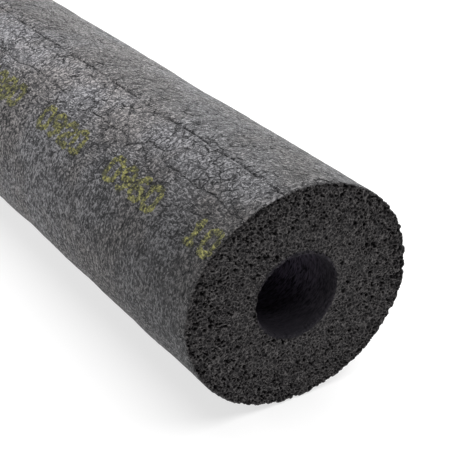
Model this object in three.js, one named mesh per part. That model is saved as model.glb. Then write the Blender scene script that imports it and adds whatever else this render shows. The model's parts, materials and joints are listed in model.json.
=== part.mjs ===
// Pipe insulation lagging: one length of extruded closed-cell foam tube with a scored seam.
// Units are millimetres and +Z is up. The tube lies along X, with its origin under its middle,
// on the floor. The end at +X is the near end, and -Y is the side with the printed scale.
import * as THREE from "three";

// Stock sizes: the tube is sold by the pipe that it fits, by its wall and by its length.
const length = 1000;
const pipeDiameter = 22;
const pipeClearance = 0.3;
const wall = 20;

// The soft tube has settled oval: this share wider than round, and as much lower.
const settle = 0.05;

// The bore came out of the die a little off centre, towards the printed side and upwards.
const boreShiftSide = 0.85;
const boreShiftUp = 0.6;

// The seam is a shallow V score that a knife opens. Its angle is measured in the section,
// from the printed side (-Y) up towards the top.
const seamAngle = THREE.MathUtils.degToRad(81);
const seamMouth = 0.7;
const seamDepth = 2.4;

// A half outline of an ellipse gets this many segments, in the skin and in the bore.
const segmentsPerHalf = 60;

const boreDiameter = pipeDiameter + pipeClearance;
const outerDiameter = boreDiameter + 2 * wall;

const foamGrey = new THREE.Color(0.2, 0.2, 0.205);

// Half the width and half the height of a round of this diameter once it has settled.
function settledHalves(diameter) {
  return {
    halfWidth: (diameter / 2) * (1 + settle),
    halfHeight: (diameter / 2) * (1 - settle),
  };
}

// A point on the skin at an angle from the printed side, and at a depth below the skin.
// In the section, the first coordinate is the row's Y and the second is height over the axis.
function skinPoint(angle, depth) {
  const { halfWidth, halfHeight } = settledHalves(outerDiameter);
  return new THREE.Vector2(
    -(halfWidth - depth) * Math.cos(angle),
    (halfHeight - depth) * Math.sin(angle),
  );
}

// The skin's outline: one sweep of the ellipse from one lip of the seam round to the other,
// and then down to the bottom of the V.
function skinOutline() {
  const { halfWidth, halfHeight } = settledHalves(outerDiameter);
  const lip = seamMouth / outerDiameter;
  const firstLip = Math.PI - seamAngle + lip;
  const lastLip = firstLip - 2 * lip + 2 * Math.PI;
  const bottom = skinPoint(seamAngle, seamDepth);
  const outline = new THREE.Shape();
  outline.absellipse(0, 0, halfWidth, halfHeight, firstLip, lastLip, false, 0);
  outline.lineTo(bottom.x, bottom.y);
  outline.closePath();
  return outline;
}

// The bore's outline, a full ellipse that is shifted with the die's pin.
function boreOutline() {
  const { halfWidth, halfHeight } = settledHalves(boreDiameter);
  const outline = new THREE.Path();
  outline.absellipse(-boreShiftSide, boreShiftUp, halfWidth, halfHeight, 0, 2 * Math.PI, true, 0);
  return outline;
}

// The tube is its section, extruded along its whole length.
function foamTube() {
  const section = skinOutline();
  section.holes.push(boreOutline());
  const geometry = new THREE.ExtrudeGeometry(section, {
    depth: length,
    steps: 1,
    bevelEnabled: false,
    curveSegments: segmentsPerHalf,
  });
  const material = new THREE.MeshStandardMaterial({
    color: foamGrey,
    roughness: 0.85,
    metalness: 0,
  });
  const mesh = new THREE.Mesh(geometry, material);
  mesh.name = "foam_tube";
  return mesh;
}

// The section is drawn in X and Y and extruded along Z: this turn lays it along the row's X,
// with the section's X on the row's Y and its Y upwards.
const laid = new THREE.Group();
laid.add(foamTube());
laid.rotation.set(Math.PI / 2, Math.PI / 2, 0);
laid.position.set(-length / 2, 0, settledHalves(outerDiameter).halfHeight);

const lagging = new THREE.Group();
lagging.add(laid);

export default lagging;
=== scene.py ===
# %% [markdown]
# A length of foam pipe lagging
#
# The object is a grey closed-cell foam tube that is pushed over a heating pipe. It is soft, it was
# extruded in one piece, and a blade cut it square. Its looks are all in the surfaces: a crinkled
# skin, a scored seam, a line of sprayed numbers, and thousands of cut cells at the ends.
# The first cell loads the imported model, which gives the sizes of the tube, its bore and its seam.

import json
import math

import bpy
import numpy as np
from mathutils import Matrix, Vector

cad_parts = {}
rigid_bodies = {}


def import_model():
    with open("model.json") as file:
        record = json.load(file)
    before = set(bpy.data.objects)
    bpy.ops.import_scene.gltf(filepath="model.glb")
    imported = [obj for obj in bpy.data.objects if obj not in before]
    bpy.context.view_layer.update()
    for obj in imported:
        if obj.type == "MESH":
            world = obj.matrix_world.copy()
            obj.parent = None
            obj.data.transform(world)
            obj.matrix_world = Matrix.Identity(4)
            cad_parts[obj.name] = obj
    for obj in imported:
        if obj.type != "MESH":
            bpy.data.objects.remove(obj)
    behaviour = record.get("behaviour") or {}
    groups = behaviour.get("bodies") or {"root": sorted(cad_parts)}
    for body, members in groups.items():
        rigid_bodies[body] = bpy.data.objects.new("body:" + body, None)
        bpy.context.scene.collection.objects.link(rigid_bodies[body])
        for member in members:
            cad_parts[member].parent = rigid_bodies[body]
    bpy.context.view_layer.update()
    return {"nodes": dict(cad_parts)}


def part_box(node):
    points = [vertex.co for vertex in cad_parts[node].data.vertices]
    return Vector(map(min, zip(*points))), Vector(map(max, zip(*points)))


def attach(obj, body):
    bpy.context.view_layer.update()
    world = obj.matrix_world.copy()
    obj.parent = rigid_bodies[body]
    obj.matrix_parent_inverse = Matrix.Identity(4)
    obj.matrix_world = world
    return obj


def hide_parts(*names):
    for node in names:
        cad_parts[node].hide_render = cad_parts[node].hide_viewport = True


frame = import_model()

mm = 0.001
low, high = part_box("foam_tube")
half_length = (high.x - low.x) / 2
half_width = (high.y - low.y) / 2
half_height = (high.z - low.z) / 2

corners = np.array([v.co for v in frame["nodes"]["foam_tube"].data.vertices])
from_axis = np.hypot(corners[:, 1], corners[:, 2] - half_height)
bore_corners = corners[from_axis < 0.6 * half_width]
bore_low, bore_high = bore_corners.min(0), bore_corners.max(0)
bore_half_width = float(bore_high[1] - bore_low[1]) / 2
bore_half_height = float(bore_high[2] - bore_low[2]) / 2
bore_y = float(bore_high[1] + bore_low[1]) / 2
bore_z = float(bore_high[2] + bore_low[2]) / 2

is_seam = (from_axis > 0.6 * half_width) & (from_axis < half_height - 1 * mm)
seam_corner = corners[is_seam][0]
seam_angle = math.atan2((seam_corner[2] - half_height) / half_height, -seam_corner[1] / half_width)
print(f"tube {2 * half_length:.3f} m long, {2 * half_width:.4f} wide, {2 * half_height:.4f} high")
print(f"bore {2 * bore_half_width:.4f} wide, {2 * bore_half_height:.4f} high")
print(f"seam {math.degrees(seam_angle):.1f} degrees round from the printed side")

# %% [markdown]
# The camera
#
# The tube lies across the picture with its cut end towards us. The view is turned 57.6 degrees
# from the side of the tube and looks down by 27.8 degrees, through a long lens from about 0.3 m.
# These angles come from fitting the outlines of the tube, its rim and its bore in the picture, so
# they are plain numbers.

# %% Set the camera
view_turn = math.radians(57.58)
view_down = math.radians(27.83)
eye_from_end = Vector((0.2128, -0.1556, 0.1574))
lens_mm = 99.67

end_middle = Vector((half_length, 0, half_height))
camera = bpy.data.objects.new("camera", bpy.data.cameras.new("camera"))
camera.location = end_middle + eye_from_end
camera.rotation_euler = (math.pi / 2 - view_down, 0, view_turn)
camera.data.lens = lens_mm
camera.data.sensor_width = 36
camera.data.clip_start = 0.01
bpy.context.scene.collection.objects.link(camera)
bpy.context.scene.camera = camera
print(f"camera {eye_from_end.length:.3f} m from the middle of the cut end")

# %% [markdown]
# Small helpers for node trees
#
# Both the shapes and the finishes below are node trees. A tree can be drawn by hand in Blender,
# but a script that writes it can be read, repeated and changed. These few helpers add a node, set
# its inputs from values or from other nodes, and hand back the output, so a tree reads as a sum.

# %% Helpers that write node trees
def plug(tree, socket, value):
    """Join another node's output to an input, or write a plain value into it."""
    if isinstance(value, bpy.types.NodeSocket):
        tree.links.new(value, socket)
    else:
        socket.default_value = value


def socket_of(sockets, key):
    """A socket by its place, or the first one in use that has this name."""
    if isinstance(key, int):
        return sockets[key]
    return next(s for s in sockets if s.name == key and s.enabled)


def add(tree, kind, inputs=None, out=0, **settings):
    """Add a node, and return one of its outputs, or the node itself when out is None."""
    node = tree.nodes.new(kind)
    for name, value in settings.items():
        setattr(node, name, value)
    for key, value in (inputs or {}).items():
        plug(tree, socket_of(node.inputs, key), value)
    return node if out is None else socket_of(node.outputs, out)


def calc(tree, operation, *values):
    """A sum on one to three numbers."""
    return add(tree, "ShaderNodeMath", dict(enumerate(values)), operation=operation)


def vector_calc(tree, operation, *values, out=0):
    """A sum on vectors. A scale takes its number last."""
    inputs = dict(enumerate(values))
    if operation == "SCALE":
        inputs = {0: values[0], "Scale": values[1]}
    return add(tree, "ShaderNodeVectorMath", inputs, out=out, operation=operation)


def xyz(tree, x, y, z):
    return add(tree, "ShaderNodeCombineXYZ", {0: x, 1: y, 2: z})


def parts_of(tree, vector):
    """The x, y and z of a vector."""
    return add(tree, "ShaderNodeSeparateXYZ", {0: vector}, out=None).outputs


def ramp(tree, value, start, end, to_start=0.0, to_end=1.0, smooth=True):
    """A number that goes from one level to another as value goes from start to end."""
    inputs = {0: value, 1: start, 2: end, 3: to_start, 4: to_end}
    return add(tree, "ShaderNodeMapRange", inputs,
               interpolation_type="SMOOTHSTEP" if smooth else "LINEAR")


def noise(tree, place, per_metre, detail=2.0, out="Factor", **more):
    """Soft random clouds. Their size is one metre over per_metre."""
    inputs = {"Vector": place, "Scale": per_metre, "Detail": detail, **more}
    node = add(tree, "ShaderNodeTexNoise", inputs, out=None)
    return node.outputs[0] if out == "Factor" else node.outputs[1]


def wander(tree, x, per_metre, seed):
    """A number near 0.5 that wanders along the tube."""
    inputs = {"W": calc(tree, "ADD", x, seed), "Scale": per_metre, "Detail": 2.0}
    return add(tree, "ShaderNodeTexNoise", inputs, noise_dimensions="1D")


def shaken(tree, place, per_metre, reach):
    """A place that is moved at random, up to about half of reach each way."""
    push = vector_calc(tree, "SUBTRACT", noise(tree, place, per_metre, out="Color"), (0.5, 0.5, 0.5))
    return vector_calc(tree, "MULTIPLY_ADD", push, (reach, reach, reach), place)


def cell_edges(tree, place, per_metre):
    """The distance to the nearest wall in a pack of random cells, as a share of a cell's size."""
    inputs = {"Vector": place, "Scale": per_metre}
    return add(tree, "ShaderNodeTexVoronoi", inputs, feature="DISTANCE_TO_EDGE")


def mix(tree, share, first, second, kind="FLOAT"):
    """A blend of two numbers, vectors or colours: the first at a share of 0, the second at 1."""
    inputs = {"Factor": share, "A": first, "B": second}
    return add(tree, "ShaderNodeMix", inputs, out="Result", data_type=kind)


def new_tree(name, kind, inputs, outputs):
    """A node group with named inputs and outputs. Returns it, its inputs by name, and its end."""
    tree = bpy.data.node_groups.new(name, kind)
    for label, (socket_type, value) in inputs.items():
        socket = tree.interface.new_socket(label, in_out="INPUT", socket_type=socket_type)
        if value is not None:
            socket.default_value = value
    for label, socket_type in outputs.items():
        tree.interface.new_socket(label, in_out="OUTPUT", socket_type=socket_type)
    given = tree.nodes.new("NodeGroupInput")
    result = tree.nodes.new("NodeGroupOutput")
    return tree, {s.name: s for s in given.outputs if s.name}, result


NUMBER, WHOLE, VECTOR = "NodeSocketFloat", "NodeSocketInt", "NodeSocketVector"
SHAPE, FINISH, THING = "NodeSocketGeometry", "NodeSocketMaterial", "NodeSocketObject"

# %% [markdown]
# From a tree to a piece
#
# A shape tree is a modifier on an object, and it makes its shape anew each time. It could be
# applied by hand, but each piece is needed as a plain mesh that can be measured and passed on. So
# one helper fills in the tree's inputs, asks Blender for the finished shape, keeps that as the mesh
# and takes the modifier off. The other measures: a sound piece has no open edges, and its volume is
# positive, which says that its faces look outwards.

# %% Helpers that make a piece from a tree
def shape_with(tree, mesh, values, name):
    """Run a geometry tree on a mesh and keep the result as a plain mesh, with no modifier."""
    piece = bpy.data.objects.new(name, mesh)
    bpy.context.scene.collection.objects.link(piece)
    modifier = piece.modifiers.new("shape", "NODES")
    modifier.node_group = tree
    for item in tree.interface.items_tree:
        if item.in_out == "INPUT" and item.name in values:
            modifier[item.identifier] = values[item.name]
    graph = bpy.context.evaluated_depsgraph_get()
    made = bpy.data.meshes.new_from_object(
        piece.evaluated_get(graph), preserve_all_data_layers=True, depsgraph=graph
    )
    piece.modifiers.remove(modifier)
    piece.data = made
    made.name = name
    return piece


def measure(piece):
    """Print a piece's triangles, its open edges and its volume, which is positive if it faces out."""
    mesh = piece.data
    mesh.calc_loop_triangles()
    place = np.array([v.co for v in mesh.vertices])
    triangles = np.array([t.vertices for t in mesh.loop_triangles])
    a, b, c = (place[triangles[:, k]] for k in range(3))
    volume = float((a * np.cross(b, c)).sum() / 6)
    uses = np.bincount([loop.edge_index for loop in mesh.loops], minlength=len(mesh.edges))
    open_edges = int((uses != 2).sum())
    print(f"{piece.name}: {len(triangles)} triangles, {open_edges} open edges, {volume * 1e6:.1f} ml")


# %% [markdown]
# Cracks in the skin
#
# The skin cracked when the foam swelled behind the die. A few long cracks follow the tube, and
# between them runs a net of short ones. The same cracks have to be cut into the shape and be dark
# in the finish. They could be drawn twice, but here one function writes the same sum into a
# geometry tree or a shader tree, so the two always agree. The longest crack is the scored seam.

# %% The long cracks and the net
tube_radius = math.sqrt(half_width * half_height)

# The mesh can't follow a finer groove than this, so no crack is cut finer into the shape.
thinnest_cut = 0.22 * mm

# How often, per metre of tube, a crack swings, jags, widens to a knot, and comes and goes.
swings_per_metre, jags_per_metre = 55.0, 650.0
knots_per_metre, gaps_per_metre = 170.0, 45.0
jag_reach = 1.2 * mm

# Each crack: its distance below the seam, measured round the skin, how far it wanders, its width,
# its strength, and how high a wandering number has to be for the crack to show.
long_cracks = [
    (0.0 * mm, 1.4 * mm, 0.10 * mm, 0.9, 0.42),
    (4.1 * mm, 4.0 * mm, 0.13 * mm, 0.75, 0.56),
    (11.4 * mm, 4.5 * mm, 0.14 * mm, 1.0, 0.42),
    (17.7 * mm, 4.0 * mm, 0.14 * mm, 0.85, 0.44),
    (24.2 * mm, 4.0 * mm, 0.13 * mm, 0.7, 0.48),
    (37.5 * mm, 5.0 * mm, 0.14 * mm, 0.7, 0.56),
    (45.7 * mm, 6.0 * mm, 0.15 * mm, 0.8, 0.54),
    (-13.0 * mm, 5.0 * mm, 0.12 * mm, 0.5, 0.56),
    (-60.0 * mm, 6.0 * mm, 0.14 * mm, 0.7, 0.50),
]


def hump(tree, distance, width):
    """A smooth hill that is 1 where distance is 0, and fades over about one width."""
    share = calc(tree, "DIVIDE", distance, width)
    return calc(tree, "EXPONENT", calc(tree, "MULTIPLY", calc(tree, "MULTIPLY", share, share), -1.0))


def oval_parts(tree, place, given):
    """The shares of the half width and half height, how far out, and the distance below the seam."""
    x, y, z = parts_of(tree, place)
    wide = calc(tree, "DIVIDE", y, given["Half width"])
    tall = calc(tree, "DIVIDE", calc(tree, "SUBTRACT", z, given["Half height"]), given["Half height"])
    outwards = vector_calc(tree, "LENGTH", xyz(tree, 0.0, wide, tall), out="Value")
    angle = calc(tree, "ARCTAN2", tall, calc(tree, "MULTIPLY", wide, -1.0))
    below_seam = calc(tree, "MULTIPLY", calc(tree, "SUBTRACT", given["Seam angle"], angle), tube_radius)
    return x, wide, tall, outwards, below_seam


def long_crack(tree, x, below_seam, number, at_least=0.0):
    """How near a place is to one long crack: 1 on its line, and 0 away from it."""
    below, wandering, width, strength, level = long_cracks[number]
    slow = calc(tree, "SUBTRACT", wander(tree, x, swings_per_metre, 3.7 * number), 0.5)
    jagged = calc(tree, "SUBTRACT", wander(tree, x, jags_per_metre, 7.9 * number), 0.5)
    swing = calc(tree, "MULTIPLY_ADD", slow, wandering, calc(tree, "MULTIPLY", jagged, jag_reach))
    line = calc(tree, "SUBTRACT", below_seam, calc(tree, "ADD", swing, below))
    knots = wander(tree, x, knots_per_metre, 17.0 * number)
    knots = ramp(tree, knots, 0.58, 0.72, 0.7 * width, 1.8 * width)
    hill = hump(tree, line, calc(tree, "MAXIMUM", knots, at_least))
    shows = ramp(tree, wander(tree, x, gaps_per_metre, 11.3 * number + 5.0), level, level + 0.08)
    if number == 0:
        # The scored seam never quite goes away, and it is open where the blade crossed it.
        at_cut = ramp(tree, calc(tree, "ABSOLUTE", x), half_length - 14 * mm, half_length - 4 * mm)
        shows = calc(tree, "MAXIMUM", calc(tree, "MULTIPLY_ADD", shows, 0.5, 0.5), at_cut)
    return calc(tree, "MULTIPLY", calc(tree, "MULTIPLY", hill, shows), strength)


# The net of short cracks: its meshes and its patches per metre, and how its lines are shaken.
net_per_metre = 340.0
net_patches_per_metre = 220.0
net_shake = 1.3 * mm
shakes_per_metre = 900.0


def crack_net(tree, place, tall, thin):
    """The net of short cracks between the long ones: 1 on a crack. It is strongest on top."""
    drawn = vector_calc(tree, "MULTIPLY", place, (1.0, 0.75, 0.75))
    edge = cell_edges(tree, shaken(tree, drawn, shakes_per_metre, net_shake), net_per_metre)
    shows = ramp(tree, noise(tree, place, net_patches_per_metre), 0.42, 0.54)
    shows = calc(tree, "MULTIPLY", shows, ramp(tree, tall, -0.2, 0.6, 0.3, 1.0))
    return calc(tree, "MULTIPLY", ramp(tree, edge, 0.0, thin, 1.0, 0.0), shows)


# %% [markdown]
# The relief that the skin and the cut ends share
#
# Besides the cracks, the skin has gentle dents and a soft crumple. It could be sculpted, but a
# rule gives the same relief on every piece that meets the skin, so the foam at the cut end follows
# the skin's dents too. The rule is a node group. It takes a place on the tube and says how far the
# surface lies inside the plain oval there.

# %% The relief of the skin
OVAL = {
    "Half length": (NUMBER, half_length),
    "Half width": (NUMBER, half_width),
    "Half height": (NUMBER, half_height),
    "Seam angle": (NUMBER, seam_angle),
}
SECTION = {
    **OVAL,
    "Bore half width": (NUMBER, bore_half_width),
    "Bore half height": (NUMBER, bore_half_height),
    "Bore middle": (VECTOR, (0.0, bore_y, bore_z)),
}
end_slice = 2.5 * mm
dents_per_metre = 34.0
crumples_per_metre = 330.0

relief, given, result = new_tree(
    "Skin relief",
    "GeometryNodeTree",
    {**OVAL, "Seam depth": (NUMBER, 0.5 * mm), "Crack depth": (NUMBER, 0.22 * mm),
     "Dent depth": (NUMBER, 0.45 * mm), "Crumple depth": (NUMBER, 0.22 * mm)},
    {"Offset": VECTOR},
)
place = add(relief, "GeometryNodeInputPosition")
x, wide, tall, outwards, below_seam = oval_parts(relief, place, given)
seam = long_crack(relief, x, below_seam, 0, thinnest_cut)
cracks = crack_net(relief, place, tall, 0.12)
for number in range(1, len(long_cracks)):
    one = long_crack(relief, x, below_seam, number, thinnest_cut)
    cracks = calc(relief, "MAXIMUM", cracks, one)
dents = ramp(relief, noise(relief, place, dents_per_metre, 1.0), 0.35, 0.7)
crumple = noise(relief, place, crumples_per_metre, 1.5)

# The crumple fades out before the end slice, so that the two pieces meet flush.
from_cut = calc(relief, "SUBTRACT", given["Half length"], calc(relief, "ABSOLUTE", x))
crumple = calc(relief, "MULTIPLY", crumple, ramp(relief, from_cut, end_slice, 3 * end_slice, 0.0, 1.0))
depth = calc(relief, "MULTIPLY", dents, given["Dent depth"])
depth = calc(relief, "MULTIPLY_ADD", crumple, given["Crumple depth"], depth)
depth = calc(relief, "MULTIPLY_ADD", cracks, given["Crack depth"], depth)
depth = calc(relief, "MULTIPLY_ADD", seam, given["Seam depth"], depth)

# The relief fades below the skin, so that it squeezes the foam just under it.
squeeze = ramp(relief, outwards, 0.92, 0.985)
push = vector_calc(relief, "NORMALIZE", xyz(relief, 0.0, wide, tall))
push = vector_calc(relief, "SCALE", push, calc(relief, "MULTIPLY", depth, squeeze))
relief.links.new(vector_calc(relief, "SCALE", push, -1.0), result.inputs["Offset"])
print(f"skin relief: {len(long_cracks)} long cracks, {len(relief.nodes)} nodes")

# %% [markdown]
# The ragged rim
#
# A blade drags through foam, so the edge of the cut is nibbled: cells that lie on the edge are
# torn open and leave notches. The blade entered at the top, where the edge is clean, and left at
# the bottom and the far side, where it tore more. This rule moves what lies within 2 mm of the
# edge of the cut. It reads only the place, so the skin's edge and the cells behind it tear as one.

# %% The ragged rim of the cut
notches_per_metre = 640.0
nibbles_per_metre = 560.0
bore_nibbles_per_metre = 900.0

rim, given, result = new_tree(
    "Ragged rim",
    "GeometryNodeTree",
    {**SECTION, "Notch": (NUMBER, 0.6 * mm), "Nibble": (NUMBER, 0.55 * mm),
     "Bore nibble": (NUMBER, 0.32 * mm)},
    {"Offset": VECTOR},
)
place = add(rim, "GeometryNodeInputPosition")
x, wide, tall, outwards, _ = oval_parts(rim, place, given)
end = calc(rim, "SIGN", x)
from_cut = calc(rim, "SUBTRACT", given["Half length"], calc(rim, "ABSOLUTE", x))
torn_side = calc(rim, "SUBTRACT", calc(rim, "MULTIPLY", wide, 0.7), calc(rim, "MULTIPLY", tall, 0.7))
share = calc(rim, "MULTIPLY", ramp(rim, outwards, 0.94, 0.99),
             ramp(rim, from_cut, 0.1 * mm, 1.9 * mm, 1.0, 0.0))
share = calc(rim, "MULTIPLY", share, ramp(rim, torn_side, -0.45, 0.35, 0.3, 1.0))

# The notches are read on the plane of the cut, so that they run straight back from the edge.
_, y, z = parts_of(rim, place)
on_cut = xyz(rim, end, y, z)
notch = ramp(rim, noise(rim, on_cut, notches_per_metre), 0.5, 0.7)
back = calc(rim, "MULTIPLY", calc(rim, "MULTIPLY", end, -1.0),
            calc(rim, "MULTIPLY", notch, given["Notch"]))
nibble = ramp(rim, noise(rim, on_cut, nibbles_per_metre, 3.0, Distortion=0.5), 0.38, 0.68)
pull = vector_calc(rim, "NORMALIZE", xyz(rim, 0.0, wide, tall))
pull = vector_calc(rim, "SCALE", pull, calc(rim, "MULTIPLY", nibble, given["Nibble"]))
moved = vector_calc(rim, "SUBTRACT", xyz(rim, back, 0.0, 0.0), pull)
moved = vector_calc(rim, "SCALE", moved, share)

# The edge of the bore is nibbled too, but finer, and outwards into the foam.
_, y, z = parts_of(rim, vector_calc(rim, "SUBTRACT", place, given["Bore middle"]))
ray = xyz(rim, 0.0, calc(rim, "DIVIDE", y, given["Bore half width"]),
          calc(rim, "DIVIDE", z, given["Bore half height"]))
from_bore = vector_calc(rim, "LENGTH", ray, out="Value")
share = calc(rim, "MULTIPLY", ramp(rim, from_bore, 1.0, 1.14, 1.0, 0.0),
             ramp(rim, from_cut, 0.3 * mm, 2.2 * mm, 1.0, 0.0))
torn = ramp(rim, noise(rim, on_cut, bore_nibbles_per_metre, 3.0), 0.36, 0.66)
torn = calc(rim, "MULTIPLY", calc(rim, "MULTIPLY", torn, share), given["Bore nibble"])
push = vector_calc(rim, "SCALE", vector_calc(rim, "NORMALIZE", ray), torn)
back = calc(rim, "MULTIPLY", torn, calc(rim, "MULTIPLY", end, -0.6))
push = vector_calc(rim, "ADD", push, xyz(rim, back, 0.0, 0.0))
rim.links.new(vector_calc(rim, "ADD", moved, push), result.inputs["Offset"])
print(f"ragged rim: {len(rim.nodes)} nodes")

# %% [markdown]
# The cut cells
#
# Foam is a pack of many-sided bubbles, and a cut goes through each at a chance height. A bubble
# cut through its middle leaves a deep pit, one that was only grazed leaves a shallow dish. The
# Voronoi pattern is such a pack, and the plane of the cut slices it the same way, so it gives the
# right mix of sizes by itself. Small cells fill the whole cut. Bigger bubbles sit among them, and
# more of them near the skin, where the foam had room to swell.

# %% The pits of the cut cells
cell_size = 1.05 * mm
wall_shakes_per_metre = 1300.0
fluff_per_metre = 2300.0

pits, given, result = new_tree(
    "Cut cells",
    "GeometryNodeTree",
    {**OVAL, "Cell size": (NUMBER, cell_size), "Bubble size": (NUMBER, 1.7 * mm),
     "Cell depth": (NUMBER, 0.95 * mm), "Dish depth": (NUMBER, 0.16 * mm),
     "Bubble depth": (NUMBER, 1.2 * mm), "Fluff": (NUMBER, 0.3 * mm)},
    {"Offset": VECTOR},
)
place = add(pits, "GeometryNodeInputPosition")
x, _, _, outwards, _ = oval_parts(pits, place, given)
in_wall = ramp(pits, outwards, 0.36, 1.0, smooth=False)


def foam_walls(tree, place, size, reach):
    """Sliced foam: the distance to the nearest wall of a cell, as a share of the cell's size."""
    place = shaken(tree, place, wall_shakes_per_metre, reach)
    return cell_edges(tree, place, calc(tree, "DIVIDE", 1.0, size))


def foam_middles(tree, place, size, reach):
    """Sliced foam: the distance to the middle of a cell, and the cell's chance number."""
    place = shaken(tree, place, wall_shakes_per_metre, reach)
    inputs = {"Vector": place, "Scale": calc(tree, "DIVIDE", 1.0, size)}
    middle = add(tree, "ShaderNodeTexVoronoi", inputs, out=None)
    return middle.outputs["Distance"], parts_of(tree, middle.outputs["Color"])[0]


cell_shake, bubble_shake = 0.7 * mm, 1.0 * mm
wall = foam_walls(pits, place, given["Cell size"], cell_shake)
chance = foam_middles(pits, place, given["Cell size"], cell_shake)[1]
opened = ramp(pits, in_wall, 0.1, 0.95, 0.5, 0.1)
dish_or_pit = ramp(pits, chance, opened, calc(pits, "ADD", opened, 0.7),
                   given["Dish depth"], given["Cell depth"], smooth=False)
cell_depth = calc(pits, "MULTIPLY", ramp(pits, wall, 0.03, 0.26), dish_or_pit)
from_middle, chance = foam_middles(pits, place, given["Bubble size"], bubble_shake)
there = ramp(pits, chance, ramp(pits, in_wall, 0.2, 0.95, 0.98, 0.6), 1.0, 0.0, 4.0, smooth=False)
there = calc(pits, "MINIMUM", there, 1.0)
bubble = calc(pits, "MULTIPLY", ramp(pits, from_middle, 0.24, 0.4, 1.0, 0.0), there)
depth = calc(pits, "MAXIMUM", cell_depth, calc(pits, "MULTIPLY", bubble, given["Bubble depth"]))
fluff = noise(pits, place, fluff_per_metre, 1.0, out="Color")
depth = calc(pits, "MULTIPLY_ADD", parts_of(pits, fluff)[0], given["Fluff"], depth)

# Only the flat of the cut has pits. They stop at the lip of skin, and die out into the bore.
on_flat = calc(pits, "GREATER_THAN", calc(pits, "ABSOLUTE", x),
               calc(pits, "SUBTRACT", given["Half length"], 0.02 * mm))
share = calc(pits, "MULTIPLY", on_flat, ramp(pits, outwards, 0.982, 0.995, 1.0, 0.0))
share = calc(pits, "MULTIPLY", share, ramp(pits, in_wall, 0.0, 0.05, 0.35, 1.0))
sideways = vector_calc(pits, "SUBTRACT", fluff, (0.5, 0.5, 0.5))
sideways = vector_calc(pits, "MULTIPLY", sideways, (0.0, 0.3 * mm, 0.3 * mm))
into = calc(pits, "MULTIPLY", calc(pits, "SIGN", x), calc(pits, "MULTIPLY", depth, -1.0))
moved = vector_calc(pits, "ADD", sideways, xyz(pits, into, 0.0, 0.0))
pits.links.new(vector_calc(pits, "SCALE", moved, share), result.inputs["Offset"])
print(f"cut cells: {len(pits.nodes)} nodes")

# %% [markdown]
# Sheets between rings
#
# A tube with walls has the shape of a stretched ring doughnut: the skin, a cut end, the bore and
# the other end follow each other in a closed loop. It could be lathed, but the bore sits off
# centre. So each stretch is a sheet between two oval rings, and a closed chain of rings gives a
# shape with no pole and no open edge. The columns of a sheet can crowd together on one side, so
# that the fine mesh lies where it is seen from close by.

# %% A sheet between two rings
sheet, given, result = new_tree(
    "Sheet between rings",
    "GeometryNodeTree",
    {"Columns": (WHOLE, 220), "Rows": (WHOLE, 1), "First middle": (VECTOR, None),
     "First size": (VECTOR, None), "Last middle": (VECTOR, None), "Last size": (VECTOR, None),
     "Crowd angle": (NUMBER, 1.15), "Crowding": (NUMBER, 0.0)},
    {"Mesh": SHAPE},
)
grid = add(sheet, "GeometryNodeMeshGrid", {
    "Size X": 1.0, "Size Y": 1.0,
    "Vertices X": calc(sheet, "ADD", given["Columns"], 1.0),
    "Vertices Y": calc(sheet, "ADD", given["Rows"], 1.0),
})
across, along, _ = parts_of(sheet, add(sheet, "GeometryNodeInputPosition"))
turn = calc(sheet, "MULTIPLY_ADD", across, 2 * math.pi, math.pi)
gather = calc(sheet, "SINE", calc(sheet, "SUBTRACT", turn, given["Crowd angle"]))
turn = calc(sheet, "SUBTRACT", turn, calc(sheet, "MULTIPLY", gather, given["Crowding"]))
step = calc(sheet, "ADD", along, 0.5)
middle = mix(sheet, step, given["First middle"], given["Last middle"], "VECTOR")
size = mix(sheet, step, given["First size"], given["Last size"], "VECTOR")
round_it = xyz(sheet, 0.0, calc(sheet, "MULTIPLY", calc(sheet, "COSINE", turn), -1.0),
               calc(sheet, "SINE", turn))
spot = vector_calc(sheet, "MULTIPLY_ADD", round_it, size, middle)
sheet.links.new(add(sheet, "GeometryNodeSetPosition", {"Geometry": grid, "Position": spot}),
                result.inputs["Mesh"])
print(f"sheet between rings: {len(sheet.nodes)} nodes")

# %% [markdown]
# Chains of rings
#
# Cut the tube along its length, and the edge of its wall is a loop that passes some rings on the
# skin and some on the bore. A piece could be put together from cylinders and discs, but their edges
# would have to be matched one by one. Here each ring is given once, by its middle and its size, and
# the two sheets beside it share it, so the merged shape is closed. Two more helpers move a shape by
# a relief group, and give the bore its own finish.

# %% Chains of rings
def skin_ring(tree, given, x, inset=0.0):
    """A ring's middle and size, on the skin or a little inside it."""
    wide = calc(tree, "SUBTRACT", given["Half width"], inset)
    tall = calc(tree, "SUBTRACT", given["Half height"], inset)
    return xyz(tree, x, 0.0, given["Half height"]), xyz(tree, 0.0, wide, tall)


def bore_ring(tree, given, x, inset=0.0):
    """A ring's middle and size, on the bore or a little way into the foam."""
    wide = calc(tree, "ADD", given["Bore half width"], inset)
    tall = calc(tree, "ADD", given["Bore half height"], inset)
    middle = vector_calc(tree, "ADD", given["Bore middle"], xyz(tree, x, 0.0, 0.0))
    return middle, xyz(tree, 0.0, wide, tall)


# Corners nearer than this are one, and an edge that turns by more radians than this is sharp.
weld_reach = 0.002 * mm
sharp_turn = 1.2


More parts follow.
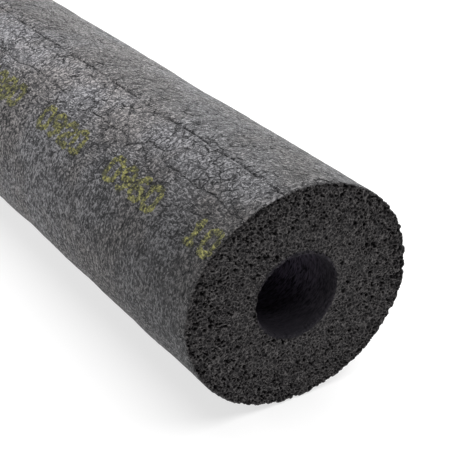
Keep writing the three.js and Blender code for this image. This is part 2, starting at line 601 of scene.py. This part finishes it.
def closed_chain(tree, stretches):
    """Join the sheets between rings into one closed skin, with its right-angled edges sharp."""
    parts = add(tree, "GeometryNodeJoinGeometry", out=None)
    for first, last, settings in stretches:
        piece = add(tree, "GeometryNodeGroup", {
            "First middle": first[0], "First size": first[1],
            "Last middle": last[0], "Last size": last[1], **settings,
        }, node_tree=sheet)
        tree.links.new(piece, parts.inputs[0])
    whole = add(tree, "GeometryNodeMergeByDistance", {"Geometry": parts.outputs[0],
                                                      "Distance": weld_reach})
    sharp = calc(tree, "GREATER_THAN", add(tree, "GeometryNodeInputMeshEdgeAngle"), sharp_turn)
    return add(tree, "GeometryNodeSetShadeSmooth", {"Geometry": whole, "Selection": sharp,
                                                    "Shade Smooth": False}, domain="EDGE")


def moved_by(tree, shape, group, given, names=OVAL):
    """Move a shape by what a group says."""
    offset = add(tree, "GeometryNodeGroup", {name: given[name] for name in names}, node_tree=group)
    return add(tree, "GeometryNodeSetPosition", {"Geometry": shape, "Offset": offset})


def finish_bore(tree, shape, given, reach):
    """Give the bore's wall, out to some distance into the foam, a finish of its own."""
    place = vector_calc(tree, "SUBTRACT", add(tree, "GeometryNodeInputPosition"), given["Bore middle"])
    place = vector_calc(tree, "MULTIPLY", place, (0.0, 1.0, 1.0))
    in_bore = calc(tree, "LESS_THAN", vector_calc(tree, "LENGTH", place, out="Value"),
                   calc(tree, "ADD", given["Bore half width"], reach))
    return add(tree, "GeometryNodeSetMaterial", {"Geometry": shape, "Selection": in_bore,
                                                 "Material": given["Bore finish"]})


# %% [markdown]
# The body of the tube
#
# The body is everything except the last 2.5 mm at each end. It is one closed chain of four rings.
# Its skin sheet has most of the mesh, crowded towards the seam and towards the near end. An even
# mesh could do, but it would need many times the faces to be as fine where the picture looks.

# %% The tree of the body
body_tree, given, result = new_tree(
    "Foam body",
    "GeometryNodeTree",
    {"Geometry": (SHAPE, None), **SECTION, "Columns": (WHOLE, 240), "Skin rows": (WHOLE, 390),
     "Bore rows": (WHOLE, 16), "Skin finish": (FINISH, None), "Bore finish": (FINISH, None)},
    {"Geometry": SHAPE},
)
near_x = calc(body_tree, "SUBTRACT", given["Half length"], end_slice)
far_x = calc(body_tree, "MULTIPLY", near_x, -1.0)
near_skin = skin_ring(body_tree, given, near_x)
far_skin = skin_ring(body_tree, given, far_x)
near_bore = bore_ring(body_tree, given, near_x)
far_bore = bore_ring(body_tree, given, far_x)
mesh_plan = {"Columns": given["Columns"], "Crowding": 0.6}
inner = closed_chain(body_tree, [
    (near_skin, near_bore, mesh_plan),
    (near_bore, far_bore, {**mesh_plan, "Rows": given["Bore rows"]}),
    (far_bore, far_skin, mesh_plan),
    (far_skin, near_skin, {**mesh_plan, "Rows": given["Skin rows"]}),
])
body = add(body_tree, "GeometryNodeFlipFaces", {"Mesh": inner})

# The skin's rows are drawn towards the near end, where the picture shows them from close by.
near_crowding = 0.62
x, y, z = parts_of(body_tree, add(body_tree, "GeometryNodeInputPosition"))
share = calc(body_tree, "DIVIDE", calc(body_tree, "SUBTRACT", near_x, x),
             calc(body_tree, "MULTIPLY", near_x, 2.0))
drawn = calc(body_tree, "MULTIPLY_ADD", calc(body_tree, "POWER", share, 3.0), near_crowding,
             calc(body_tree, "MULTIPLY", share, 1 - near_crowding))
drawn_x = calc(body_tree, "SUBTRACT", near_x,
               calc(body_tree, "MULTIPLY", drawn, calc(body_tree, "MULTIPLY", near_x, 2.0)))
body = add(body_tree, "GeometryNodeSetPosition", {"Geometry": body,
                                                  "Position": xyz(body_tree, drawn_x, y, z)})
body = moved_by(body_tree, body, relief, given)
body = add(body_tree, "GeometryNodeRealizeInstances", {"Geometry": body})
body = add(body_tree, "GeometryNodeSetMaterial", {"Geometry": body, "Material": given["Skin finish"]})
body = finish_bore(body_tree, body, given, 1 * mm)
body_tree.links.new(body, result.inputs["Geometry"])
print(f"foam body: {len(body_tree.nodes)} nodes")

# %% [markdown]
# The cut ends
#
# Each end is a slice 2.5 mm thick with a much finer mesh: the rim's notches and the cut cells are
# moved into its surface. It starts as a chain of rings that goes round the rim, over the flat of
# the cut and over the rounded edge of the bore. The back of the slice lies against the body. The
# cells could be bump alone, but real pits cast shadows into each other and fray the rim.

# %% The tree of a cut end
end_tree, given, result = new_tree(
    "Cut end",
    "GeometryNodeTree",
    {"Geometry": (SHAPE, None), **SECTION, "End": (NUMBER, 1.0), "Columns": (WHOLE, 830),
     "Rows over the cut": (WHOLE, 86), "Rim round": (NUMBER, 0.15 * mm), "Skin finish": (FINISH, None),
     "Bore finish": (FINISH, None), "Cut finish": (FINISH, None)},
    {"Geometry": SHAPE},
)


def back_from_cut(distance):
    inside = calc(end_tree, "SUBTRACT", given["Half length"], distance)
    return calc(end_tree, "MULTIPLY", inside, given["End"])


rim_round = given["Rim round"]
bore_round = 0.4 * mm
bore_bevel = 0.12 * mm

# Each entry is a ring, and the rows of faces that lead from it to the next one.
chain = [
    (skin_ring(end_tree, given, back_from_cut(end_slice)), 9),
    (skin_ring(end_tree, given, back_from_cut(rim_round)), 1),
    (skin_ring(end_tree, given, back_from_cut(0.0), rim_round), given["Rows over the cut"]),
    (bore_ring(end_tree, given, back_from_cut(0.0), bore_round), 2),
    (bore_ring(end_tree, given, back_from_cut(bore_bevel), bore_bevel), 2),
    (bore_ring(end_tree, given, back_from_cut(bore_round)), 6),
    (bore_ring(end_tree, given, back_from_cut(end_slice)), 1),
]
slice_shape = closed_chain(end_tree, [
    (first, chain[(number + 1) % len(chain)][0], {"Rows": rows, "Columns": given["Columns"]})
    for number, (first, rows) in enumerate(chain)
])
faces_in = calc(end_tree, "GREATER_THAN", given["End"], 0.0)
slice_shape = add(end_tree, "GeometryNodeFlipFaces", {"Mesh": slice_shape, "Selection": faces_in})

# The finishes are given out while the shape is still plain: cut first, then skin and bore. What
# lies further from the axis than this share of the way out is skin.
skin_starts = 0.9968
slice_shape = add(end_tree, "GeometryNodeRealizeInstances", {"Geometry": slice_shape})
slice_shape = add(end_tree, "GeometryNodeSetMaterial", {"Geometry": slice_shape,
                                                        "Material": given["Cut finish"]})
place = add(end_tree, "GeometryNodeInputPosition")
outwards = oval_parts(end_tree, place, given)[3]
on_skin = calc(end_tree, "GREATER_THAN", outwards, skin_starts)
slice_shape = add(end_tree, "GeometryNodeSetMaterial", {"Geometry": slice_shape, "Selection": on_skin,
                                                        "Material": given["Skin finish"]})
slice_shape = finish_bore(end_tree, slice_shape, given, 0.1 * mm)
for group, names in ((pits, OVAL), (relief, OVAL), (rim, SECTION)):
    slice_shape = moved_by(end_tree, slice_shape, group, given, names)
end_tree.links.new(slice_shape, result.inputs["Geometry"])
print(f"cut end: {len(end_tree.nodes)} nodes")

# %% [markdown]
# The skin's finish
#
# Foam skin is a film of torn and flattened cells, each about a third of a millimetre across, so it
# is speckled all over. Most of the specks are a little longer round the tube. Under the print they
# were drawn out along it, and between the print and the seam the skin is pale, with dark folds and
# small plates. It could be one noise, but folds are lines and not clouds. A line is where a noise
# passes through its middle value, so the distance from that value makes thin winding folds. The
# cracks are the same that were cut into the shape. The pattern is a group, because the printed
# numbers lie on the same skin.

# %% The crumpled skin as a group
crumpled, given, result = new_tree(
    "Crumpled skin", "ShaderNodeTree",
    {**OVAL, "Specks per metre": (NUMBER, 1500.0), "Wrinkles per metre": (NUMBER, 720.0),
     "Plates per metre": (NUMBER, 430.0), "Painted glints per metre": (NUMBER, 2100.0)},
    {"Height": NUMBER, "Light": NUMBER, "Crack": NUMBER, "Tone and shade": NUMBER, "Tint": NUMBER},
)
spot = add(crumpled, "ShaderNodeTexCoord", out="Object")
x, _, tall, _, below_seam = oval_parts(crumpled, spot, given)


def stripe(distance, width):
    """A soft stripe along the tube, some distance below the seam: 1 in its middle, 0 outside."""
    return hump(crumpled, calc(crumpled, "SUBTRACT", below_seam, distance), width)


def ridges(place, per_metre, width):
    """Thin winding lines: 1 on a line, and 0 away from it."""
    wave = calc(crumpled, "SUBTRACT", noise(crumpled, place, per_metre), 0.5)
    return ramp(crumpled, calc(crumpled, "ABSOLUTE", wave), 0.0, width, 1.0, 0.0, smooth=False)


band = stripe(7 * mm, 8 * mm)
print_line = stripe(17 * mm, 9 * mm)
bent = shaken(crumpled, spot, shakes_per_metre, 0.8 * mm)
hooped = vector_calc(crumpled, "MULTIPLY", bent, (1.0, 0.65, 0.65))
drawn = vector_calc(crumpled, "MULTIPLY", bent, (0.35, 1.0, 1.0))
specks = ramp(crumpled, noise(crumpled, hooped, given["Specks per metre"]), 0.39, 0.62, smooth=False)
creases = calc(crumpled, "MULTIPLY", given["Wrinkles per metre"], 1.25)
creased = calc(crumpled, "MULTIPLY", ridges(hooped, creases, 0.12), 0.6)
creased = calc(crumpled, "MULTIPLY_ADD", specks, 0.5, creased)
folds = ridges(bent, given["Wrinkles per metre"], 0.06)
plates = ramp(crumpled, cell_edges(crumpled, bent, given["Plates per metre"]), 0.0, 0.12)
closed = ramp(crumpled, noise(crumpled, spot, 500.0), 0.44, 0.56)
plates = calc(crumpled, "MAXIMUM", plates, closed)

# Past the seam the net of short cracks is fainter.
cracks = crack_net(crumpled, spot, tall, 0.07)
cracks = calc(crumpled, "MULTIPLY", cracks, ramp(crumpled, below_seam, -7 * mm, 0.0, 0.55, 1.0))
for number in range(len(long_cracks)):
    cracks = calc(crumpled, "MAXIMUM", cracks, long_crack(crumpled, x, below_seam, number))

# Low down: pale specks in loose clusters, with painted glints, highlights put into the colour,
# that are brightest along the print.
clusters = ramp(crumpled, noise(crumpled, spot, 260.0), 0.35, 0.65, -0.08, 0.06)
painted_glints = ramp(crumpled, noise(crumpled, hooped, given["Painted glints per metre"], 1.0), 0.56, 0.7)
painted_threads = ramp(crumpled, noise(crumpled, drawn, given["Painted glints per metre"], 1.0), 0.5, 0.68, 0.0, 1.7)
painted_glints = mix(crumpled, print_line, painted_glints, painted_threads)
specked = calc(crumpled, "ADD", calc(crumpled, "ADD", creased, clusters), painted_glints)
specked = calc(crumpled, "MULTIPLY", specked, ramp(crumpled, print_line, 0.0, 1.0, 1.0, 0.875))

# In the band and past the seam: a pale ground, with its folds and the lines between plates
# painted dark, as painted shade.
drawn_out = calc(crumpled, "MULTIPLY", ramp(crumpled, specks, 0.0, 1.0, 0.44, 0.8),
                 ramp(crumpled, folds, 0.0, 1.0, 1.0, 0.12))
drawn_out = calc(crumpled, "MULTIPLY", drawn_out, ramp(crumpled, plates, 0.0, 1.0, 0.3, 1.05))
stretched = calc(crumpled, "MAXIMUM", band, ramp(crumpled, below_seam, -4 * mm, 2 * mm, 0.7, 0.0))
rough = mix(crumpled, stretched, specked, drawn_out)

# A power keeps the ground dark and the brightest specks bright. Past the seam the skin is even.
steep = ramp(crumpled, stretched, 0.0, 1.0, 2.3, 1.3, smooth=False)
pale = calc(crumpled, "POWER", calc(crumpled, "MAXIMUM", rough, 0.0), steep)
even = ramp(crumpled, below_seam, -10 * mm, 2 * mm, 0.25, 0.0)
pale = mix(crumpled, even, pale, 0.36)
crumpled.links.new(pale, result.inputs["Light"])
crumpled.links.new(calc(crumpled, "SUBTRACT", rough, cracks), result.inputs["Height"])
crumpled.links.new(cracks, result.inputs["Crack"])

# The skin is palest in the band. It is painted darker near the cut, most of all low down,
# and past the seam: painted shade.
patches = noise(crumpled, spot, 45.0, 3.0)
from_cut = calc(crumpled, "SUBTRACT", given["Half length"], calc(crumpled, "ABSOLUTE", x))
at_cut = ramp(crumpled, below_seam, -4 * mm, 16 * mm, 1.06, 0.65)
far_off = ramp(crumpled, below_seam, -4 * mm, 14 * mm, 1.74, 1.6)
tone_and_shade = ramp(crumpled, from_cut, 0.0, 90 * mm, at_cut, far_off, smooth=False)
tone_and_shade = calc(crumpled, "MULTIPLY", tone_and_shade, calc(crumpled, "MULTIPLY_ADD", band, 0.42, 1.0))
tone_and_shade = calc(crumpled, "MULTIPLY", tone_and_shade, ramp(crumpled, below_seam, -7 * mm, 3 * mm, 0.67, 1.0))
tone_and_shade = calc(crumpled, "MULTIPLY", tone_and_shade, ramp(crumpled, patches, 0.35, 0.65, 0.92, 1.08))
crumpled.links.new(tone_and_shade, result.inputs["Tone and shade"])
crumpled.links.new(patches, result.inputs["Tint"])
print(f"crumpled skin: {len(crumpled.nodes)} nodes")

# %% [markdown]
# From the pattern to the material
#
# The group puts out masks, and the material turns them into colour, shine and relief. The foam is
# coloured with soot, so it has no strong colour: its pale film leans a little to brown in some
# patches and to blue in others. A colour ramp could hold all of it, but two mixes are easier to
# read: one between the two pale greys, and one between the dark folds and the pale film. The raised
# film was rubbed smooth, so it shines a little more than the folds.

# %% The skin's finish
def finish_with(name, roughness, shine):
    """A new material, its tree and its main shader."""
    material = bpy.data.materials.new(name)
    material.use_nodes = True
    tree = material.node_tree
    shader = tree.nodes["Principled BSDF"]
    shader.inputs["Roughness"].default_value = roughness
    shader.inputs["Specular IOR Level"].default_value = shine
    return material, tree, shader


def blend_colours(tree, share, first, second):
    return mix(tree, share, first, second, "RGBA")


def bump_from(tree, shader, height, distance):
    bump = add(tree, "ShaderNodeBump", {"Height": height, "Distance": distance, "Strength": 1.0})
    tree.links.new(bump, shader.inputs["Normal"])


# Valleys: the foam's dark grey, and partly painted shade in the folds. Cracks: painted shade.
ridge_warm = (0.189, 0.177, 0.175, 1)
ridge_cool = (0.178, 0.176, 0.185, 1)
valley_and_shade = (0.013, 0.013, 0.015, 1)
crack_shade = (0.010, 0.010, 0.012, 1)

skin_finish, tree, shader = finish_with("foam skin", 0.42, 0.3)
skin = add(tree, "ShaderNodeGroup", out=None, node_tree=crumpled)
tint = ramp(tree, skin.outputs["Tint"], 0.4, 0.6)
ridge = blend_colours(tree, tint, ridge_warm, ridge_cool)
colour = blend_colours(tree, skin.outputs["Light"], valley_and_shade, ridge)
colour = vector_calc(tree, "SCALE", colour, skin.outputs["Tone and shade"])
colour = blend_colours(tree, skin.outputs["Crack"], colour, crack_shade)
tree.links.new(colour, shader.inputs["Base Color"])
tree.links.new(ramp(tree, skin.outputs["Light"], 0.0, 1.0, 0.7, 0.4), shader.inputs["Roughness"])
bump_from(tree, shader, skin.outputs["Height"], 0.4 * mm)
print(f"foam skin: {len(tree.nodes)} nodes beside the group's own")

# %% [markdown]
# The finishes of the cut and of the bore
#
# Cut foam is made of torn films: fuzzy, dull and dark. The walls of the same cells that were cut
# into the shape are painted paler, a painted highlight on their rims, the depth below the cut paints
# the pits darker as painted shade, and a fine twisted noise gives the torn fibres. The bore was
# smoothed by the die's pin and has faint streaks round it. Almost no light falls in there, so its
# foam is painted paler with depth, which is how far the eye can still follow the wall in the picture.
# Its lower wall looks up at the light and would shine, so it is darker.

# %% The finishes of the cut and of the bore
cut_light = (0.136, 0.128, 0.127, 1)
cut_dark_and_pit_shade = (0.007, 0.006, 0.007, 1)
cut_finish, tree, shader = finish_with("cut cells", 0.6, 0.2)
spot = add(tree, "ShaderNodeTexCoord", out="Object")
x, y, z = parts_of(tree, spot)
below = calc(tree, "SUBTRACT", half_length, calc(tree, "ABSOLUTE", x))
on_cut = xyz(tree, calc(tree, "MULTIPLY", calc(tree, "SIGN", x), half_length), y, z)
fibres = noise(tree, spot, 1700.0, 3.0, Distortion=1.2)
pale = ramp(tree, fibres, 0.36, 0.64, -0.2, 0.42, smooth=False)

# The walls of the cells, and fainter ones of cells half as big, are painted paler: a painted
# highlight on the rims.
for size, width, strength in ((cell_size, 0.24, 0.42), (0.5 * cell_size, 0.26, 0.2)):
    wall = foam_walls(tree, on_cut, size, cell_shake)
    pale = calc(tree, "ADD", pale, ramp(tree, wall, 0.0, width, strength, 0.0))
# Deeper below the cut the foam is painted darker: painted shade in the pits.
pale = calc(tree, "SUBTRACT", pale, ramp(tree, below, 0.15 * mm, 0.9 * mm, 0.0, 0.5))
pale = calc(tree, "ADD", pale, ramp(tree, noise(tree, on_cut, 480.0), 0.35, 0.65, -0.08, 0.08))
pale = calc(tree, "POWER", calc(tree, "MAXIMUM", pale, 0.0), 2.0)
tree.links.new(blend_colours(tree, pale, cut_dark_and_pit_shade, cut_light), shader.inputs["Base Color"])
bump_from(tree, shader, fibres, 0.2 * mm)

bore_edge = (0.045, 0.041, 0.048, 1)
bore_deep = (0.390, 0.343, 0.458, 1)
bore_black = (0.012, 0.011, 0.015, 1)
bore_finish, tree, shader = finish_with("bore wall", 0.7, 0.1)
spot = add(tree, "ShaderNodeTexCoord", out="Object")
x, _, z = parts_of(tree, spot)
inside = calc(tree, "SUBTRACT", half_length, calc(tree, "ABSOLUTE", x))
streaks = noise(tree, vector_calc(tree, "MULTIPLY", spot, (1.0, 0.3, 0.3)), 2100.0, 3.0, Distortion=0.6)
lower_wall = ramp(tree, z, bore_z - bore_half_height, bore_z - 0.45 * bore_half_height, 0.76, 0.0)
colour = blend_colours(tree, ramp(tree, inside, 1.0 * mm, 26 * mm), bore_edge, bore_deep)
colour = blend_colours(tree, lower_wall, colour, bore_black)
colour = blend_colours(tree, ramp(tree, streaks, 0.34, 0.7), colour, bore_black)
tree.links.new(colour, shader.inputs["Base Color"])
bump_from(tree, shader, streaks, 0.3 * mm)
print(f"cut cells and bore wall: {len(cut_finish.node_tree.nodes)} and {len(tree.nodes)} nodes")

# %% [markdown]
# Make the foam
#
# Now the trees are run. The foam could be one mesh, but the fine mesh of the cut is only needed in
# the last 2.5 mm, so it is three: the body, and a slice at each end. The far slice is the near
# one's tree with its End input turned round. The cells and notches are read at its own place, so
# they are its own.

# %% Make the foam
foam_finishes = {"Skin finish": skin_finish, "Bore finish": bore_finish, "Cut finish": cut_finish}
foam_body = shape_with(body_tree, bpy.data.meshes.new("body"), foam_finishes, "foam_body")
near_end = shape_with(end_tree, bpy.data.meshes.new("near"), {**foam_finishes, "End": 1.0}, "near_cut_end")
far_end = shape_with(end_tree, bpy.data.meshes.new("far"), {**foam_finishes, "End": -1.0}, "far_cut_end")
foam_pieces = [foam_body, near_end, far_end]
for piece in foam_pieces:
    measure(piece)

# %% [markdown]
# The printed numbers
#
# A spray head with seven nozzles prints numbers along the tube while it runs past. Here they are
# plain numbers: the millimetres from the far end, every four centimetres. A painted image could carry
# them, but real dots of ink can follow the skin's folds. Each digit is a small pattern of dots,
# typed out as five columns by seven rows. The script sets a point for each dot on a flat strip,
# and a tree puts a drop of ink on each point, rolls the strip round the tube and lays it on the
# skin with rays.

# %% Set out the dots of the numbers
digits = {
    "0": "01110 10001 10001 10001 10001 10001 01110",
    "1": "00100 01100 00100 00100 00100 00100 01110",
    "2": "01110 10001 00001 00110 01000 10000 11111",
    "3": "11110 00001 00001 01110 00001 00001 11110",
    "4": "00010 00110 01010 10010 11111 00010 00010",
    "5": "11111 10000 11110 00001 00001 10001 01110",
    "6": "00110 01000 10000 11110 10001 10001 01110",
    "7": "11111 00001 00010 00100 01000 01000 01000",
    "8": "01110 10001 10001 01110 10001 10001 01110",
    "9": "01110 10001 10001 01111 00001 00010 01100",
}
column_pitch = 1.08 * mm
row_pitch = 1.02 * mm
digit_pitch = 6.5 * mm
number_step = 40 * mm
print_angle = math.radians(43.5)
clear_of_cut = 0.9 * mm
middle_column, middle_row = 2, 3

dots = []
for number in range(1, round(2 * half_length / number_step) + 1):
    text = f"{round(number * number_step / mm):04d}"
    for place_in_text, digit in enumerate(text):
        middle_x = number * number_step - half_length
        middle_x += (place_in_text - (len(text) - 1) / 2) * digit_pitch
        for row, pattern in enumerate(digits[digit].split()):
            for column, inked in enumerate(pattern):
                x = middle_x + (column - middle_column) * column_pitch
                arc = print_angle * tube_radius + (middle_row - row) * row_pitch
                if inked == "1" and abs(x) < half_length - clear_of_cut:
                    dots.append((x, arc, 0.0))
strip = bpy.data.meshes.new("strip")
strip.from_pydata(dots, [], [])
print(f"printed numbers: {len(dots)} dots")

# %% [markdown]
# Drops of ink on the skin
#
# Each drop is a small flat blob that wets the folds under it. A flat picture could be laid over the
# skin, but it would bridge the cracks. So each point gets a coarse ball, pressed flat, a little off
# its place, and turned and sized at random with a fixed seed. Then every corner of the balls is
# rolled round the oval and dropped on the foam by a ray that runs inwards. The balls have few
# faces, because there are hundreds of them.

# %% The tree of the ink
ink_tree, given, result = new_tree(
    "Drops of ink",
    "GeometryNodeTree",
    {"Geometry": (SHAPE, None), "Half width": (NUMBER, half_width), "Half height": (NUMBER, half_height),
     "Body": (THING, None), "Cut end": (THING, None), "Drop width": (NUMBER, 2.35 * mm),
     "Drop height": (NUMBER, 0.09 * mm), "Stray": (NUMBER, 0.12 * mm), "Seed": (WHOLE, 5),
     "Ink": (FINISH, None)},
    {"Geometry": SHAPE},
)
stray = calc(ink_tree, "MULTIPLY", given["Stray"], -1.0)
stray = add(ink_tree, "FunctionNodeRandomValue", {
    "Min": xyz(ink_tree, stray, stray, 0.0), "Max": xyz(ink_tree, given["Stray"], given["Stray"], 0.0),
    "Seed": given["Seed"],
}, out="Value", data_type="FLOAT_VECTOR")
points = add(ink_tree, "GeometryNodeSetPosition", {"Geometry": given["Geometry"], "Offset": stray})
full_turn = (0.0, 0.0, 6.28)
turned = add(ink_tree, "FunctionNodeRandomValue", {"Min": (0.0, 0.0, 0.0), "Max": full_turn,
                                                   "Seed": given["Seed"]},
             out="Value", data_type="FLOAT_VECTOR")

# A ball's radius is between these shares of the drop's width.
least, most = 0.38, 0.56
grown = add(ink_tree, "FunctionNodeRandomValue", {"Min": least, "Max": most, "Seed": given["Seed"]},
            out="Value", data_type="FLOAT")
width = calc(ink_tree, "MULTIPLY", given["Drop width"], grown)
drops = add(ink_tree, "GeometryNodeInstanceOnPoints", {
    "Points": points, "Instance": add(ink_tree, "GeometryNodeMeshIcoSphere", {"Radius": 1.0}),
    "Rotation": turned, "Scale": xyz(ink_tree, width, width, given["Drop height"]),
})
drops = add(ink_tree, "GeometryNodeRealizeInstances", {"Geometry": drops})

# Roll the strip round the tube, a little outside it, and drop it on the skin along rays.
x, arc, lift = parts_of(ink_tree, add(ink_tree, "GeometryNodeInputPosition"))
angle = calc(ink_tree, "DIVIDE", arc, tube_radius)
out_y = calc(ink_tree, "MULTIPLY", calc(ink_tree, "COSINE", angle), -1.0)
out_z = calc(ink_tree, "SINE", angle)
oval = vector_calc(ink_tree, "MULTIPLY", xyz(ink_tree, x, out_y, out_z),
                   xyz(ink_tree, 1.0, given["Half width"], given["Half height"]))
oval = vector_calc(ink_tree, "ADD", oval, xyz(ink_tree, 0.0, 0.0, given["Half height"]))
outwards = vector_calc(ink_tree, "NORMALIZE", xyz(
    ink_tree, 0.0, calc(ink_tree, "DIVIDE", out_y, given["Half width"]),
    calc(ink_tree, "DIVIDE", out_z, given["Half height"])))
skins = add(ink_tree, "GeometryNodeJoinGeometry", out=None)
for name in ("Body", "Cut end"):
    foam = add(ink_tree, "GeometryNodeObjectInfo", {"Object": given[name]}, out="Geometry")
    ink_tree.links.new(foam, skins.inputs[0])
ray_start = 3 * mm
off_skin = 0.03 * mm
start = vector_calc(ink_tree, "ADD", oval, vector_calc(ink_tree, "SCALE", outwards, ray_start))
hit = add(ink_tree, "GeometryNodeRaycast", {
    "Target Geometry": skins.outputs[0], "Source Position": start,
    "Ray Direction": vector_calc(ink_tree, "SCALE", outwards, -1.0), "Ray Length": 2 * ray_start,
}, out="Hit Position")
lift = calc(ink_tree, "ADD", lift, off_skin)
spot = vector_calc(ink_tree, "ADD", hit, vector_calc(ink_tree, "SCALE", outwards, lift))
drops = add(ink_tree, "GeometryNodeSetPosition", {"Geometry": drops, "Position": spot})
drops = add(ink_tree, "GeometryNodeSetMaterial", {"Geometry": drops, "Material": given["Ink"]})
ink_tree.links.new(drops, result.inputs["Geometry"])
print(f"drops of ink: {len(ink_tree.nodes)} nodes")

# %% [markdown]
# The ink's finish
#
# The ink is a thin yellow spray on dark foam. It takes on the raised film, soaks in unevenly and
# leaves the folds bare. It could be mixed into the skin's colour, but as a piece of its own it can
# be changed or left off. So it reads the skin's pattern from the same group: pale specks carry
# thick ink, and over the folds the ink is clear, so the foam shows through.

# %% The ink's finish
ink_thick = (0.27, 0.26, 0.080, 1)
ink_thin = (0.060, 0.060, 0.026, 1)
ink_finish, tree, shader = finish_with("sprayed ink", 0.5, 0.3)
skin = add(tree, "ShaderNodeGroup", out=None, node_tree=crumpled)
spot = add(tree, "ShaderNodeTexCoord", out="Object")
soaked = ramp(tree, noise(tree, spot, 900.0, 3.0), 0.4, 0.6)
colour = blend_colours(tree, calc(tree, "MULTIPLY", soaked, skin.outputs["Light"]), ink_thin, ink_thick)
tree.links.new(colour, shader.inputs["Base Color"])
covers = calc(tree, "ADD", skin.outputs["Light"], calc(tree, "MULTIPLY", soaked, 0.35))
tree.links.new(ramp(tree, covers, 0.03, 0.42, 0.0, 0.95), shader.inputs["Alpha"])
bump_from(tree, shader, skin.outputs["Height"], 0.16 * mm)

printed = shape_with(ink_tree, strip, {"Body": foam_body, "Cut end": near_end, "Ink": ink_finish},
                     "printed_numbers")
measure(printed)

# %% [markdown]
# Floor and light
#
# The object lies on a white table under one large soft light that hangs almost straight above it.
# It is the light that draws the short soft shadow along the tube. A weaker lamp behind brightens
# the far edge of the skin, and a small one on the left gives the low side a faint sheen. The cut
# end faces none of them, so it stays dark. The table glows, as a lit white sheet does, and that
# keeps the shadow faint.

# %% Floor, lamps and sky
floor_reach = 12.0
floor_grey = 0.34
floor_glow = 0.67
sky_strength = 0.2

floor_signs = ((-1, -1), (1, -1), (1, 1), (-1, 1))
floor_corners = [(x * floor_reach, y * floor_reach, 0) for x, y in floor_signs]
floor_mesh = bpy.data.meshes.new("floor")
floor_mesh.from_pydata(floor_corners, [], [(0, 1, 2, 3)])
floor = bpy.data.objects.new("floor", floor_mesh)
bpy.context.scene.collection.objects.link(floor)
floor_finish, tree, shader = finish_with("white table", 0.7, 0.5)
shader.inputs["Base Color"].default_value = (floor_grey, floor_grey, floor_grey, 1)
shader.inputs["Emission Color"].default_value = (1, 1, 1, 1)
shader.inputs["Emission Strength"].default_value = floor_glow
floor.data.materials.append(floor_finish)

# The lamps face a point on the tube's axis, 80 mm behind the near cut.
target = Vector((half_length - 80 * mm, 0, half_height))


def lamp(name, place, size, power):
    """A square lamp that faces the object."""
    light = bpy.data.lights.new(name, "AREA")
    light.size = size
    light.energy = power
    lamp_object = bpy.data.objects.new(name, light)
    lamp_object.location = target + Vector(place)
    lamp_object.rotation_euler = Vector(place).to_track_quat("Z", "Y").to_euler()
    bpy.context.scene.collection.objects.link(lamp_object)


lamp("overhead lamp", (0.03, 0.2, 1.1), 1.5, 24.5)
lamp("back lamp", (-0.9, 0.9, 0.5), 0.9, 12)
lamp("left lamp", (-0.3, -0.28, 0.18), 0.15, 0.52)
world = bpy.data.worlds.new("studio")
world.use_nodes = True
sky = world.node_tree.nodes["Background"]
sky.inputs["Color"].default_value = (1, 1, 1, 1)
sky.inputs["Strength"].default_value = sky_strength
bpy.context.scene.world = world
bpy.context.scene.view_settings.view_transform = "Standard"
print(f"{len(bpy.data.lights)} lamps round a point {target.x:.3f} m along the tube")

# %% [markdown]
# Hide the imported tube, and hang each piece on the body
#
# The three foam pieces stand for the one solid tube, and the ink lies on it. All four ride on the
# same body, because nothing on this object moves. The real foam gives under a finger, like a full
# cushion.

# %% Hide the imported tube, and hang each piece on the body
for piece in foam_pieces:
    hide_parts("foam_tube")
    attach(piece, "root")
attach(printed, "root")
